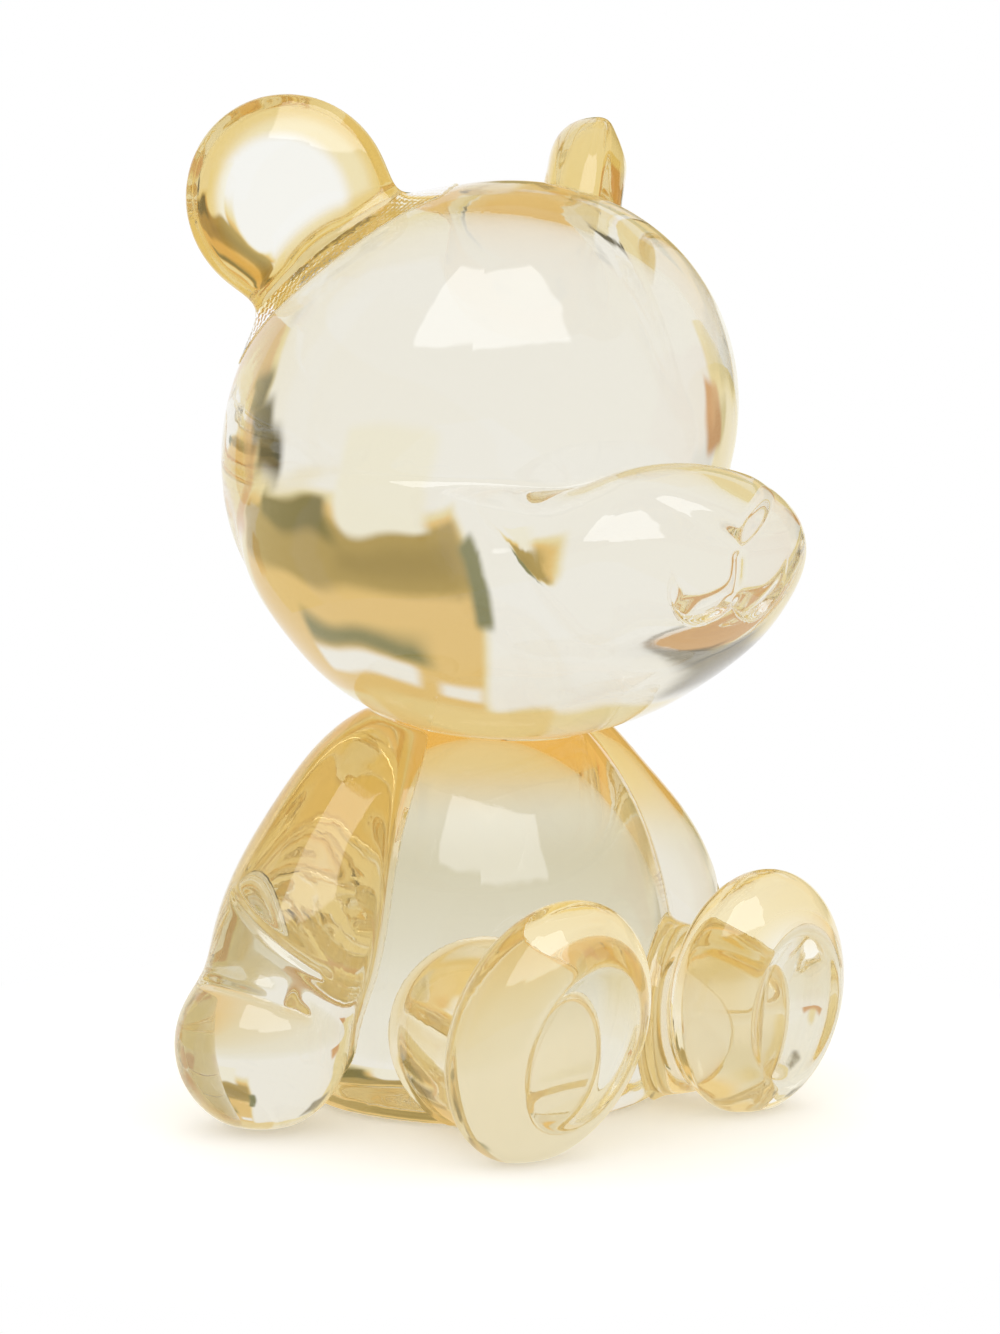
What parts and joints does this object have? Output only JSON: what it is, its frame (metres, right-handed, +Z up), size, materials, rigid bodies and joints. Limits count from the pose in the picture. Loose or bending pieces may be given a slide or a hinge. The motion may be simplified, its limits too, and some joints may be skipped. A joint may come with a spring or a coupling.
{
  "type": "bear figurine",
  "caption": "Sitting bear figurine of pale champagne crystal: solid castings seated on each other and bonded with clear adhesive at neck, ears, arms, legs and feet; stands flat on its base.",
  "frame": {"origin": "middle of the flat base under the torso, on the table plane", "axes": "+Z up, the bear faces -Y, its left side is +X"},
  "size_m": [0.0974, 0.087, 0.1358],
  "materials": {
    "crystal": "fire-polished clear crystal, tinted pale champagne yellow",
    "adhesive": "clear index-matched adhesive film"
  },
  "bodies": {
    "root": {"torso": "crystal", "head": "crystal", "right_ear": "crystal", "left_ear": "crystal", "right_arm": "crystal", "left_arm": "crystal", "right_leg": "crystal", "left_leg": "crystal", "right_foot": "crystal", "left_foot": "crystal", "neck_bond": "adhesive", "right_ear_bond": "adhesive", "left_ear_bond": "adhesive", "right_arm_bond": "adhesive", "left_arm_bond": "adhesive", "right_leg_bond": "adhesive", "left_leg_bond": "adhesive", "right_foot_bond": "adhesive", "left_foot_bond": "adhesive"}
  },
  "joints": []
}
